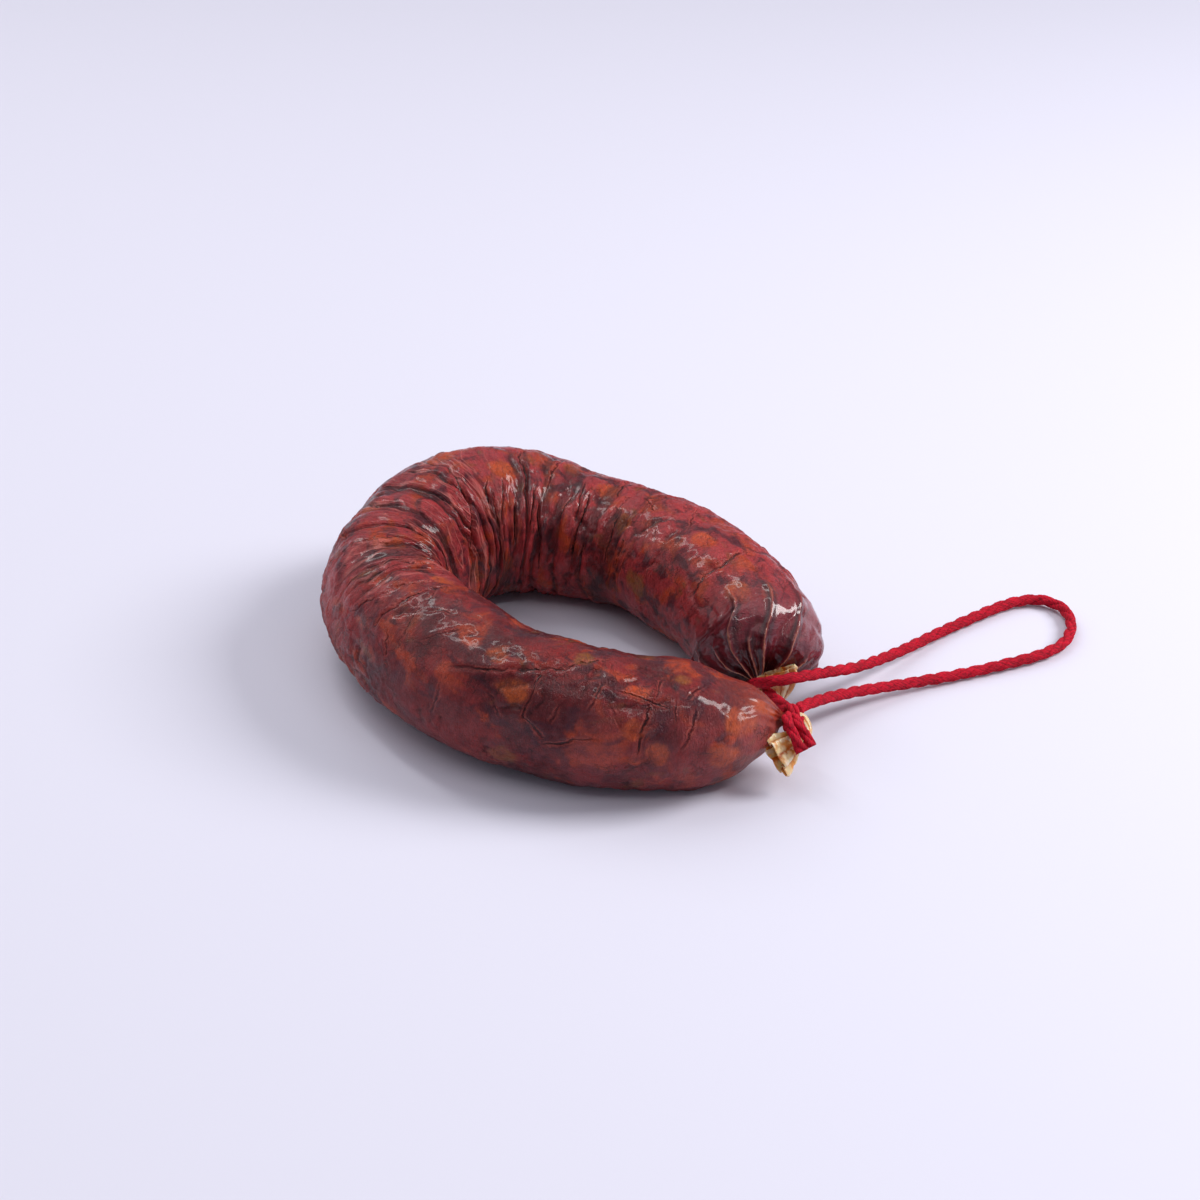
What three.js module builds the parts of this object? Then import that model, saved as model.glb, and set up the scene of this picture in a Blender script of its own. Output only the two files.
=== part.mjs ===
// A cured sausage bent into a horseshoe. Its gut casing is gathered at both ends, and one red cotton
// string ties the two necks, crosses the gap between them and makes the loop that it hangs from.
// Millimetres, +Z up. The sausage lies on the plane z = 0, and the origin is under the middle of
// the box round the sausage and its tied ends. "Front" is the end nearer -Y.
import * as THREE from "three";

// ---- Driving dimensions ------------------------------------------------------------------------
const bodyRadius = 17.8; // the filled casing
const neckRadius = 1.4; // the casing where the string pinches it
const neckLength = 2; // the part of the neck that belongs to the filled casing
const tailRootRadius = 1.2; // the empty casing where it leaves the neck
const frontDome = 32; // how far the front end takes to taper to its neck
const rearDome = 11.5; // the rear end is blunter
const stringDiameter = 3.2;
const tieLength = 3.6; // the turns of a tie, pulled tight, along the neck
const gap = 0.3; // between pieces that touch
const aroundBody = 32; // facets round the sausage
const stringSides = 8;
const flutes = 7; // pleats in an empty casing end

// The line down the middle of the sausage, from the front neck round the bend to the rear neck.
const spinePoints = [
  [57.0, -41.1, 12.8],
  [45.6, -44.2, 14.6],
  [38.5, -45.7, 15.0],
  [26.7, -47.9, 16.2],
  [7.0, -49.4, 16.8],
  [-16.8, -41.0, 17.7],
  [-34.2, -25.0, 18.3],
  [-45.6, -5.8, 18.3],
  [-48.2, 11.1, 18.4],
  [-42.2, 28.8, 19.7],
  [-31.2, 42.2, 20.7],
  [-14.4, 47.4, 19.5],
  [3.7, 43.9, 17.8],
  [20.3, 34.8, 17.2],
  [32.7, 22.1, 17.3],
  [42.2, 8.1, 17.2],
  [49.7, -5.0, 13.6],
  [50.4, -15.9, 7.2],
];

// Each empty casing end leaves its tie, folds over and opens into a fan: where it goes from there,
// the way that the flat of the fan faces, and its half width and half thickness at the mouth.
const frontTail = {
  points: [
    [60.8, -44.8, 11.2],
    [56.8, -49.4, 10.8],
    [52.4, -54.0, 9.8],
  ],
  facing: [0.1, -0.85, 0.5],
  halfWidth: 4.8,
  halfThickness: 1.8,
};
const rearTail = {
  points: [
    [54.8, -20.4, 6.2],
    [56.0, -20.2, 10.2],
    [54.4, -20.0, 14.2],
  ],
  facing: [0.1, -0.95, -0.3],
  halfWidth: 4.2,
  halfThickness: 0.9,
};

// The hanging loop: out from the rear tie, down to the table, round and back up to the front tie.
const loopPoints = [
  [48.0, -21.2, 10.6],
  [53.0, -24.9, 13.8],
  [59.1, -23.4, 14.4],
  [67.5, -15.0, 11.2],
  [77.6, -3.9, 6.8],
  [89.7, 10.3, 3.4],
  [102.0, 24.0, 1.8],
  [115.7, 36.0, 1.7],
  [124.6, 42.4, 1.7],
  [132.4, 44.2, 1.7],
  [138.2, 39.4, 1.7],
  [139.1, 30.2, 1.7],
  [135.9, 21.2, 1.7],
  [129.4, 14.6, 1.7],
  [119.6, 9.0, 1.7],
  [105.4, 2.2, 1.7],
  [91.2, -4.8, 2.6],
  [78.4, -13.1, 5.0],
  [68.4, -22.1, 8.0],
  [61.4, -31.2, 11.0],
  [59.0, -35.8, 12.2],
];

// The short run of string from one tie to the other.
const bridgePoints = [
  [51.8, -21.6, 8.8],
  [53.4, -26.4, 9.8],
  [56.4, -33.4, 11.2],
];

// The two cut ends of the string, side by side below the front tie.
const cutEndPoints = [
  [
    [56.4, -46.6, 15.6],
    [59.4, -49.2, 14.0],
    [61.8, -50.6, 11.0],
  ],
  [
    [54.8, -49.8, 16.0],
    [57.4, -52.4, 14.0],
    [59.4, -53.8, 11.2],
  ],
];

// ---- Finishes ----------------------------------------------------------------------------------
const curedMeat = new THREE.MeshStandardMaterial({ color: 0x5a1c14, roughness: 0.4, metalness: 0 });
const dryCasing = new THREE.MeshStandardMaterial({ color: 0xc09a5c, roughness: 0.35, metalness: 0 });
const redCotton = new THREE.MeshStandardMaterial({ color: 0xb3122a, roughness: 0.85, metalness: 0 });

// ---- Shaping -----------------------------------------------------------------------------------
const upward = new THREE.Vector3(0, 0, 1);

function curveThrough(points) {
  const knots = points.map(([x, y, z]) => new THREE.Vector3(x, y, z));
  return new THREE.CatmullRomCurve3(knots, false, "catmullrom", 0.5);
}

// Bends a shape that stands straight along +Y onto a curve as long as itself. Its +Z turns towards
// "facing", and what would sink into the table lies flat on it.
function bendOnto(geometry, curve, facing) {
  const length = curve.getLength();
  const place = geometry.getAttribute("position");
  for (let i = 0; i < place.count; i++) {
    const share = THREE.MathUtils.clamp(place.getY(i) / length, 0, 1);
    const along = curve.getTangentAt(share);
    const side = new THREE.Vector3().crossVectors(along, facing).normalize();
    const above = new THREE.Vector3().crossVectors(side, along);
    const at = curve.getPointAt(share);
    at.addScaledVector(side, place.getX(i));
    at.addScaledVector(above, place.getZ(i));
    place.setXYZ(i, at.x, at.y, Math.max(at.z, 0));
  }
  geometry.computeVertexNormals();
  return geometry;
}

// How far the casing has filled out, from 0 at the neck to 1 past the dome.
function filled(distance, dome, roundness) {
  const share = THREE.MathUtils.clamp(distance / dome, 0, 1);
  return (1 - (1 - share) ** 2.2) ** roundness;
}

// A gentle swelling of the body round one place along it.
const swelling = (distance, middle, spread) => Math.exp(-(((distance - middle) / spread) ** 2));

function sausage(spine) {
  const length = spine.getLength();
  const bodyStart = neckLength + frontDome;
  const bodyEnd = length - neckLength - rearDome;
  const radiusAt = (s) => {
    const body = bodyRadius + 1.2 * swelling(s, 110, 40) + 3.5 * swelling(s, 178, 28);
    const front = filled(s - neckLength, frontDome, 1.2);
    const rear = filled(length - neckLength - s, rearDome, 0.46);
    return neckRadius + (body - neckRadius) * Math.min(front, rear);
  };
  // The stations are close together where the ends close, and about 5 mm apart between them.
  const stations = [0, neckLength];
  for (let k = 1; k <= 9; k++) stations.push(neckLength + frontDome * (k / 9) ** 1.5);
  const steps = Math.round((bodyEnd - bodyStart) / 5);
  for (let k = 1; k <= steps; k++) stations.push(bodyStart + ((bodyEnd - bodyStart) * k) / steps);
  for (let k = 8; k >= 0; k--) stations.push(length - neckLength - rearDome * (k / 9) ** 1.8);
  stations.push(length);
  const profile = stations.map((s) => new THREE.Vector2(radiusAt(s), s));
  profile.unshift(new THREE.Vector2(0, 0));
  profile.push(new THREE.Vector2(0, length));
  return bendOnto(new THREE.LatheGeometry(profile, aroundBody), spine, upward);
}

// The empty casing beyond a neck: round inside the tie, then a pleated fan.
function casingTail(neckStart, neckEnd, { points, facing, halfWidth, halfThickness }) {
  const along = neckEnd.clone().sub(neckStart).normalize();
  const beyond = (distance) => neckEnd.clone().addScaledVector(along, distance).toArray();
  const tieEnd = gap + tieLength - neckLength;
  const curve = curveThrough([beyond(gap), beyond(tieEnd / 2), beyond(tieEnd + 1.2), ...points]);
  const length = curve.getLength();
  const rings = 9;
  const profile = [new THREE.Vector2(0, 0)];
  for (let k = 0; k <= rings; k++) profile.push(new THREE.Vector2(1, (length * k) / rings));
  profile.push(new THREE.Vector2(0, length));
  const tail = new THREE.LatheGeometry(profile, flutes * 4);
  const place = tail.getAttribute("position");
  for (let i = 0; i < place.count; i++) {
    const open = THREE.MathUtils.smoothstep(place.getY(i) / length, 0.4, 1);
    const turn = Math.atan2(place.getZ(i), place.getX(i));
    const pleat = 1 + 0.16 * open * Math.cos(flutes * turn);
    const wide = THREE.MathUtils.lerp(tailRootRadius, halfWidth, open) * pleat;
    const thick = THREE.MathUtils.lerp(tailRootRadius, halfThickness, open) * pleat;
    place.setXYZ(i, place.getX(i) * wide, place.getY(i), place.getZ(i) * thick);
  }
  return bendOnto(tail, curve, new THREE.Vector3(...facing));
}

// Two tight turns of string round a neck, as one ring with a dip between the turns. It starts where
// the neck starts and reaches past the neck's end, over the root of the empty casing.
function tie(neckStart, neckEnd) {
  const along = neckEnd.clone().sub(neckStart).normalize();
  const from = neckStart.clone().addScaledVector(along, gap);
  const to = from.clone().addScaledVector(along, tieLength);
  const inner = neckRadius + gap;
  const profile = [];
  for (let k = 0; k <= 12; k++) {
    const swell = Math.abs(Math.sin((2 * Math.PI * k) / 12));
    const radius = inner + stringDiameter * (0.45 + 0.3 * swell);
    profile.push(new THREE.Vector2(radius, (tieLength * k) / 12));
  }
  profile.push(new THREE.Vector2(inner, tieLength), new THREE.Vector2(inner, 0), profile[0].clone());
  return bendOnto(new THREE.LatheGeometry(profile, 20), new THREE.LineCurve3(from, to), upward);
}

function stringAlong(points) {
  const curve = curveThrough(points);
  const corners = [];
  for (let k = 0; k < stringSides; k++) {
    const turn = (2 * Math.PI * k) / stringSides;
    corners.push(new THREE.Vector2(Math.cos(turn), Math.sin(turn)).multiplyScalar(stringDiameter / 2));
  }
  const steps = Math.max(3, Math.round(curve.getLength() / (2.2 * stringDiameter)));
  return new THREE.ExtrudeGeometry(new THREE.Shape(corners), { steps, extrudePath: curve });
}

// ---- Assembly ----------------------------------------------------------------------------------
const part = new THREE.Group();

function add(name, geometry, material) {
  const mesh = new THREE.Mesh(geometry, material);
  mesh.name = name;
  part.add(mesh);
}

const spine = curveThrough(spinePoints);
const neckShare = neckLength / spine.getLength();
const frontNeck = [spine.getPointAt(neckShare), spine.getPointAt(0)];
const rearNeck = [spine.getPointAt(1 - neckShare), spine.getPointAt(1)];

add("sausage", sausage(spine), curedMeat);
add("casing_tail_front", casingTail(...frontNeck, frontTail), dryCasing);
add("casing_tail_rear", casingTail(...rearNeck, rearTail), dryCasing);
add("string_tie_front", tie(...frontNeck), redCotton);
add("string_tie_rear", tie(...rearNeck), redCotton);
add("string_loop", stringAlong(loopPoints), redCotton);
add("string_bridge", stringAlong(bridgePoints), redCotton);
add("string_cut_end_1", stringAlong(cutEndPoints[0]), redCotton);
add("string_cut_end_2", stringAlong(cutEndPoints[1]), redCotton);

export default part;
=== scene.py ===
import bpy
import math
from mathutils import Vector, Matrix


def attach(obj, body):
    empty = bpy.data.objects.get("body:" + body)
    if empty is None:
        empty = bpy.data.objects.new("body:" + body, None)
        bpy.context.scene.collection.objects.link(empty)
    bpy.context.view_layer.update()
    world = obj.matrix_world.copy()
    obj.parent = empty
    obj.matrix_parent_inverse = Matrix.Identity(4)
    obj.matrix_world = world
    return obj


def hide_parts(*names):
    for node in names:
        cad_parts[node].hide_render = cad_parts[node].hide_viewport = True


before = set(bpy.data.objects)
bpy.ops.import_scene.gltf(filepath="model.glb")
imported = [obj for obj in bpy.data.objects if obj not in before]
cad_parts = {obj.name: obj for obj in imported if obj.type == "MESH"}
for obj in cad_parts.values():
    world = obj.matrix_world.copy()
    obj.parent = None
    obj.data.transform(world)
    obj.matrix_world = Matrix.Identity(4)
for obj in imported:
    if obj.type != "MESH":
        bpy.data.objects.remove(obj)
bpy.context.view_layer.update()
bpy.ops.object.select_all(action="DESELECT")

# the sausage: along is mm from the front neck, around is degrees from the top, plus is outside the bend
sausage = {
    "spine": [  # front neck, round the bend, rear neck
        (57.0, -41.1, 12.8), (45.6, -44.2, 14.6), (38.5, -45.7, 15.0), (26.7, -47.9, 16.2),
        (7.0, -49.4, 16.8), (-16.8, -41.0, 17.7), (-34.2, -25.0, 18.3), (-45.6, -5.8, 18.3),
        (-48.2, 11.1, 18.4), (-42.2, 28.8, 19.7), (-31.2, 42.2, 20.7), (-14.4, 47.4, 19.5),
        (3.7, 43.9, 17.8), (20.3, 34.8, 17.2), (32.7, 22.1, 17.3), (42.2, 8.1, 17.2),
        (49.7, -5.0, 13.6), (50.4, -15.9, 7.2),
    ],
    "radius": 17.5,
    "neck": 1.5,
    "neckLength": 2.0,
    "swellings": [(110, 40, 1.2), (178, 28, 3.5)],  # along, how far it spreads, height
    "frontDome": 32,
    "rearDome": 11.5,
    "around": 42,
    "limbStep": 2.85,
    "bendStep": 1.75,  # where the bend wrinkles
    "endStep": 1.4,
    "bendFrom": 100,
    "bendTo": 218,
    "creases": [  # along, around, lean in degrees, length, depth
        (164, -45, 27, 34, 1.3), (176, -60, 14, 21, 1.1), (181, -50, 24, 15, 0.9), (175, -44, 30, 15, 0.8),
        (187, -62, 12, 16, 0.9), (192, -25, -6, 30, 1.1), (201, -70, -17, 27, 1.1), (201, -8, 4, 22, 0.7),
        (208, -40, 8, 12, 0.5), (215, -58, -2, 32, 1.0), (219, -85, 0, 15, 0.8), (221, 5, -18, 16, 0.8),
        (228, -55, 0, 22, 0.8), (235, -9, -64, 11, 0.6), (245, -36, -40, 7, 0.5), (238, -80, 6, 12, 0.5),
        (268, -25, -5, 30, 1.1), (270, 41, 75, 20, 1.0), (256, 20, 35, 12, 0.6), (250, -62, 12, 10, 0.5),
        (240, 22, 60, 18, 0.6), (248, 2, -30, 14, 0.6), (262, 28, 10, 14, 0.6), (272, 66, 20, 14, 0.7),
        (196, -48, 4, 18, 0.9), (212, -30, -8, 18, 0.8), (226, -22, 12, 16, 0.6), (234, -64, -6, 14, 0.6),
        (75, 42, 63, 17, 0.7), (63, 28, 77, 20, 0.8), (52, 12, 57, 17, 0.7), (63, 50, 8, 18, 0.7),
        (50, 42, 10, 10, 0.5), (37, 32, 15, 10, 0.6), (40, 43, -70, 17, 0.7), (41, 68, 10, 20, 0.8),
        (28, 32, 35, 11, 0.5), (30, 68, 15, 17, 0.6), (61, 76, -50, 10, 0.6), (54, 82, 67, 13, 0.6),
        (46, 56, -20, 8, 0.4), (33, 50, 5, 9, 0.45), (57, 60, 20, 8, 0.4), (70, 66, -30, 9, 0.4),
        (82, 82, 0, 20, 0.4), (88, 30, 40, 13, 0.5), (103, 20, 12, 28, 0.8), (112, 44, 30, 16, 0.6),
        (98, 62, -35, 14, 0.5), (108, 8, 25, 15, 0.7), (97, 36, -10, 12, 0.5), (116, -14, 20, 15, 0.7),
        (92, 14, 50, 12, 0.5), (100, 2, -25, 11, 0.5), (120, 22, 10, 15, 0.5), (132, 20, 4, 20, 0.6),
        (150, 110, 10, 20, 0.8), (170, 95, -20, 18, 0.7), (190, 120, 15, 22, 0.8), (210, 80, -10, 20, 0.8),
        (232, 105, 12, 22, 0.8), (250, 95, -15, 18, 0.7), (178, 135, 60, 18, 0.6), (222, 140, 70, 18, 0.6),
        (130, 115, -15, 18, 0.6), (262, 120, 10, 14, 0.7), (200, 60, 30, 16, 0.6), (160, 70, -12, 16, 0.6),
        (146, 47, 80, 24, 0.6), (136, 70, 20, 14, 0.45), (124, 84, -30, 15, 0.4),
    ],
    "rearPleats": [  # around, how far from the neck it reaches, height
        (-80, 20, 1.6), (-56, 17, 1.1), (-30, 22, 2.0), (-13, 18, 1.4), (1, 22, 2.0), (29, 21, 1.9),
        (60, 16, 1.3), (96, 14, 1.0), (131, 15, 1.1), (168, 13, 0.9), (-112, 15, 1.1), (-146, 14, 1.0),
    ],
    "fat": [  # along, around, half size, shade from 0 olive to 1 orange
        (259, -14, 4.2, 1.0), (184, -98, 4.0, 0.85), (219, -6, 5.0, 0.75), (277, -24, 4.5, 0.7),
        (185, -22, 5.5, 0.8), (122, -32, 4.0, 0.95), (173, 14, 4.5, 0.8), (42, 35, 3.4, 0.9),
        (43, 68, 3.6, 0.75), (67, 48, 4.5, 0.6), (73, 23, 3.4, 0.7), (37, 90, 4.2, 0.75),
        (17, 60, 6.0, 0.65), (9, 40, 6.0, 0.7), (22, 92, 5.5, 0.75), (54, 10, 3.8, 0.15),
        (31, 17, 3.6, 0.2), (246, -82, 4.6, 0.1), (231, -40, 4.0, 0.35), (67, 112, 4.4, 0.1),
        (130, 0, 4.6, 0.7), (106, -18, 4.2, 0.75), (150, 30, 4.2, 0.65), (206, 8, 4.4, 0.6),
    ],
    "bendFolds": (2.6, 34, 3.1),  # apart, long, and which of the patterns
    "colours": {
        "lean": (90, 13, 20), "red": (134, 28, 27), "bright": (200, 66, 70), "paprika": (176, 60, 22),
        "plum": (64, 12, 30), "olive": (126, 74, 30), "oliveFat": (130, 84, 32), "orangeFat": (208, 76, 20),
        "mottle": (66, 9, 20), "fleck": (184, 84, 66), "rearEnd": (92, 14, 32), "frontEnd": (150, 50, 22),
        # the colours for fold hollows, cracks, hair cracks, crease bottoms, pleat furrows and valleys are
        # painted shade; those for crease shoulders and crests are painted highlights
        "bloom": (166, 92, 94), "foldShade": (46, 9, 16), "crackShade": (40, 7, 14), "hair": (50, 12, 20),
        "crease": (36, 5, 11), "shoulder": (196, 92, 80), "furrowShade": (44, 6, 16), "pleatEdge": (240, 162, 130),
        "valley": (50, 7, 14), "crest": (222, 124, 116),
    },
}
mm = 0.001
mmPerDegree = 0.32  # round the skin


def nodeOf(tree, kind, **settings):
    made = tree.nodes.new(kind)
    for key, value in settings.items():
        setattr(made, key, value)
    return made


def feed(tree, socket, value):
    if isinstance(value, bpy.types.NodeSocket):
        tree.links.new(value, socket)
    elif value is not None:
        socket.default_value = value


def calc(tree, operation, a, b=None):
    made = nodeOf(tree, "ShaderNodeMath", operation=operation)
    feed(tree, made.inputs[0], a)
    feed(tree, made.inputs[1], b)
    return made.outputs[0]


def vecCalc(tree, operation, a, b=None, scale=None):
    made = nodeOf(tree, "ShaderNodeVectorMath", operation=operation)
    feed(tree, made.inputs[0], a)
    feed(tree, made.inputs[1], b)
    if scale is not None:
        feed(tree, made.inputs["Scale"], scale)
    return made.outputs["Value" if operation in ("LENGTH", "DOT_PRODUCT", "DISTANCE") else "Vector"]


def spread(tree, value, low, high, toLow=0.0, toHigh=1.0, smooth=True):
    made = nodeOf(tree, "ShaderNodeMapRange", interpolation_type="SMOOTHSTEP" if smooth else "LINEAR")
    ends = {"From Min": low, "From Max": high, "To Min": toLow, "To Max": toHigh}
    feed(tree, made.inputs["Value"], value)
    for name, end in ends.items():
        feed(tree, made.inputs[name], end)
    return made.outputs[0]


def noise(tree, where, scale, detail=2.0, rough=0.5, distortion=0.0, colour=False):
    made = nodeOf(tree, "ShaderNodeTexNoise", noise_dimensions="3D")
    feed(tree, made.inputs["Vector"], where)
    for name, v in {"Scale": scale, "Detail": detail, "Roughness": rough, "Distortion": distortion}.items():
        feed(tree, made.inputs[name], v)
    return made.outputs["Color" if colour else 0]


# how far it is to the nearest edge of a network of cells
def cellEdge(tree, where, scale):
    made = nodeOf(tree, "ShaderNodeTexVoronoi", feature="DISTANCE_TO_EDGE")
    feed(tree, made.inputs["Vector"], where)
    feed(tree, made.inputs["Scale"], scale)
    return made.outputs["Distance"]


def moved(tree, where, *by):
    return vecCalc(tree, "ADD", where, by)


def stretched(tree, where, *by):
    return vecCalc(tree, "MULTIPLY", where, by)


# shakes a place by up to half of amount, so that what is drawn on it runs unevenly
def shaken(tree, where, amount, *noiseValues):
    shake = vecCalc(tree, "SUBTRACT", noise(tree, where, *noiseValues, colour=True), (0.5, 0.5, 0.5))
    return vecCalc(tree, "ADD", where, vecCalc(tree, "SCALE", shake, scale=amount))


def blendColours(tree, amount, a, b):
    made = nodeOf(tree, "ShaderNodeMix", data_type="RGBA")
    feed(tree, made.inputs[0], amount)
    feed(tree, made.inputs[6], a)
    feed(tree, made.inputs[7], b)
    return made.outputs[2]


def colour(red, green, blue):  # from 0..255 screen values
    flat = [v / 255 for v in (red, green, blue)]
    return tuple(v / 12.92 if v <= 0.04045 else ((v + 0.055) / 1.055) ** 2.4 for v in flat) + (1,)


def nodeModifier(piece, tree):
    made = piece.modifiers.new(tree.name, "NODES")
    made.node_group = tree
    return made


def applyAll(piece):
    bpy.context.view_layer.objects.active = piece
    for m in list(piece.modifiers):
        bpy.ops.object.modifier_apply(modifier=m.name)


def geometryTree(name):
    tree = bpy.data.node_groups.new(name, "GeometryNodeTree")
    tree.interface.new_socket("Geometry", in_out="INPUT", socket_type="NodeSocketGeometry")
    tree.interface.new_socket("Geometry", in_out="OUTPUT", socket_type="NodeSocketGeometry")
    return tree, nodeOf(tree, "NodeGroupInput"), nodeOf(tree, "NodeGroupOutput")


def keep(tree, geometry, name, value, kind="FLOAT"):
    made = nodeOf(tree, "GeometryNodeStoreNamedAttribute", data_type=kind, domain="POINT")
    feed(tree, made.inputs["Geometry"], geometry)
    made.inputs["Name"].default_value = name
    feed(tree, made.inputs["Value"], value)
    return made.outputs[0]


# a smooth line through the points; the handles make it pass evenly through each
def lineThrough(name, points):
    bpy.ops.curve.primitive_bezier_curve_add(location=(0, 0, 0))
    line = bpy.context.object
    line.name = name
    spots = [Vector(p) * mm for p in points]
    bez = line.data.splines[0].bezier_points
    bez.add(len(spots) - 2)
    for i, spot in enumerate(spots):
        before = spots[i - 1] if i else spot * 2 - spots[1]
        after = spots[i + 1] if i < len(spots) - 1 else spot * 2 - spots[-2]
        bez[i].handle_left_type = bez[i].handle_right_type = "FREE"
        bez[i].co = spot
        bez[i].handle_left = spot - (after - before) / 6
        bez[i].handle_right = spot + (after - before) / 6
    line.data.dimensions = "3D"
    line.data.twist_mode = "Z_UP"
    line.data.resolution_u = 40
    return line, line.data.splines[0].calc_length()


# bends a piece that lies straight along X onto the line
def bendOnto(piece, line):
    made = piece.modifiers.new("bend", "CURVE")
    made.object = line
    made.deform_axis = "POS_X"


print("sausage")
spineLine, spineLength = lineThrough("spine", sausage["spine"])
spineMm = spineLength / mm
rearStart = spineMm - sausage["neckLength"]


def filled(distance, dome, roundness):
    share = min(max(distance / dome, 0), 1)
    return (1 - (1 - share) ** 2.2) ** roundness


def sausageRadius(s):
    body = sausage["radius"]
    for along, wide, high in sausage["swellings"]:
        body += high * math.exp(-(((s - along) / wide) ** 2))
    front = filled(s - sausage["neckLength"], sausage["frontDome"], 1.2)
    rear = filled(rearStart - s, sausage["rearDome"], 0.46)
    return sausage["neck"] + (body - sausage["neck"]) * min(front, rear)


def stationStep(s):
    if sausage["bendFrom"] < s < sausage["bendTo"]:
        return sausage["bendStep"]
    if s < 8 or s > rearStart - sausage["rearDome"]:
        return sausage["endStep"]
    return sausage["limbStep"]


# stations are even along the skin, so the blunt rear end gets as many as it needs
stations, s, gone = [0, sausage["neckLength"]], sausage["neckLength"], 0
crumb = 0.02
while s < rearStart - crumb:
    gone += math.hypot(crumb, sausageRadius(s + crumb) - sausageRadius(s))
    s += crumb
    if gone >= stationStep(s):
        stations.append(s)
        gone = 0
stations += [rearStart, spineMm]
print("  stations", len(stations), "length", round(spineMm, 1))

acrossX = (0, math.radians(-90), 0)
bpy.ops.mesh.primitive_circle_add(vertices=sausage["around"], radius=sausageRadius(0) * mm,
                                  fill_type="NGON", location=(0, 0, 0), rotation=acrossX)
body = bpy.context.object
body.name = "sausageSkin"
bpy.ops.object.transform_apply(location=True, rotation=True)
bpy.ops.object.mode_set(mode="EDIT")
bpy.ops.mesh.select_all(action="SELECT")
for a, b in zip(stations, stations[1:]):
    bpy.ops.mesh.extrude_region_move(TRANSFORM_OT_translate={"value": ((b - a) * mm, 0, 0)})
    grow = sausageRadius(b) / sausageRadius(a)
    bpy.ops.transform.resize(value=(1, grow, grow), center_override=(b * mm, 0, 0))
bpy.ops.mesh.select_all(action="SELECT")
bpy.ops.mesh.normals_make_consistent(inside=False)
bpy.ops.object.mode_set(mode="OBJECT")
bpy.ops.object.shade_smooth()

smooth = body.modifiers.new("smooth", "SUBSURF")
smooth.levels = smooth.render_levels = 2


def times(tree, a, *more):
    for b in more:
        a = calc(tree, "MULTIPLY", a, b)
    return a


def plus(tree, a, *more):
    for b in more:
        a = calc(tree, "ADD", a, b)
    return a


def minus(tree, a, b):
    return calc(tree, "SUBTRACT", a, b)


def band(tree, value, low, lowFull, highFull, high):
    return times(tree, spread(tree, value, low, lowFull), spread(tree, value, high, highFull))


# where a point lies on the straight sausage: mm along, mm to the axis, degrees around from the top
def skinPlace(tree, spot):
    apart = nodeOf(tree, "ShaderNodeSeparateXYZ")
    feed(tree, apart.inputs[0], spot)
    x, y, z = apart.outputs
    reach = calc(tree, "SQRT", plus(tree, times(tree, y, y), times(tree, z, z)))
    around = times(tree, calc(tree, "ARCTAN2", y, z), 180 / math.pi)
    return {"x": x, "reach": reach, "around": around, "fromRear": minus(tree, spineMm, x)}


# flat coordinates on the skin, shaken so that no crease runs straight
def shakenSkin(tree, spot, at, amount=5.0):
    shake = noise(tree, spot, 0.13, 4, 0.55, colour=True)
    flat = nodeOf(tree, "ShaderNodeCombineXYZ")
    feed(tree, flat.inputs[0], at["x"])
    feed(tree, flat.inputs[1], times(tree, at["around"], mmPerDegree))
    offset = vecCalc(tree, "SCALE", vecCalc(tree, "SUBTRACT", shake, (0.5, 0.5, 0.5)), scale=amount)
    return vecCalc(tree, "ADD", flat.outputs[0], offset)


# a reusable group for the wrinkle tree: each input is (name, kind)
def smallGroup(name, inputs, outputs):
    group = bpy.data.node_groups.new(name, "GeometryNodeTree")
    for label, kind in inputs:
        group.interface.new_socket(label, in_out="INPUT", socket_type=kind)
    for label in outputs:
        group.interface.new_socket(label, in_out="OUTPUT", socket_type="NodeSocketFloat")
    return group, nodeOf(group, "NodeGroupInput").outputs, nodeOf(group, "NodeGroupOutput").inputs


def useGroup(tree, group, *values):
    made = nodeOf(tree, "GeometryNodeGroup", node_tree=group)
    for socket, value in zip(made.inputs, values):
        feed(tree, socket, value)
    return made.outputs


vector, number = "NodeSocketVector", "NodeSocketFloat"

# one crease is a valley between two soft shoulders; Side is the signed distance from its bottom
group, given, result = smallGroup("crease", [
    ("Skin", vector), ("Across", vector), ("Run", vector), ("Across Place", number),
    ("Run Place", number), ("Length", number), ("Depth", number)], ["Height", "Near", "Side"])
creaseGroup = group
skin, acrossWay, runWay, acrossPlace, runPlace, length, depth = list(given)[:7]
side = minus(group, vecCalc(group, "DOT_PRODUCT", skin, acrossWay), acrossPlace)
across = calc(group, "ABSOLUTE", side)
run = calc(group, "ABSOLUTE", minus(group, vecCalc(group, "DOT_PRODUCT", skin, runWay), runPlace))
inside = spread(group, run, times(group, length, 0.5), times(group, length, 0.2))
valley = times(group, spread(group, across, plus(group, times(group, depth, 0.7), 0.4), 0), -1.25)
shoulder = times(group, spread(group, across, plus(group, times(group, depth, 2.0), 1.4), 0), 0.7)
feed(group, result[0], times(group, plus(group, valley, shoulder), inside, depth))
strength = spread(group, depth, 0.3, 1.0, 0.35, 1.0, smooth=False)
feed(group, result[1], times(group, spread(group, across, 3.0, 0.5), inside, strength))
feed(group, result[2], side)

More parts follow.
